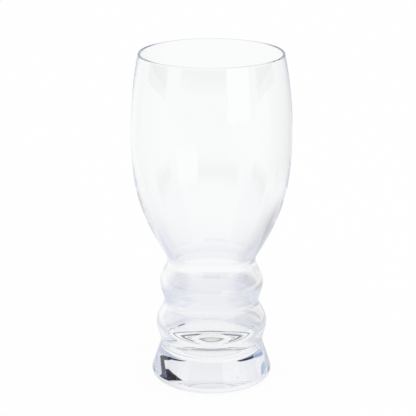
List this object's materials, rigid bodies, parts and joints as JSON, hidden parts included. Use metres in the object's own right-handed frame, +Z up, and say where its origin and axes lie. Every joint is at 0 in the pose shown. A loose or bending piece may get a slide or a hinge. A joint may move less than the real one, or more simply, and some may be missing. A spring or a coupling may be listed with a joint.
{
  "type": "drinking glass",
  "caption": "Tall clear cider glass: a thin tulip bowl on a hollow stem of soft rings and a heavy solid foot, for serving a long cold drink.",
  "frame": {"origin": "centre of the circle that the foot stands on, on the table", "axes": "+Z up the axis of the glass, towards the rim; the glass is round about Z, so X and Y are free"},
  "size_m": [0.0856, 0.0856, 0.18],
  "materials": {
    "clear_glass": "clear, fire polished"
  },
  "bodies": {
    "root": {"bowl": "clear_glass", "upper_ring": "clear_glass", "lower_ring": "clear_glass", "foot": "clear_glass"}
  },
  "joints": []
}
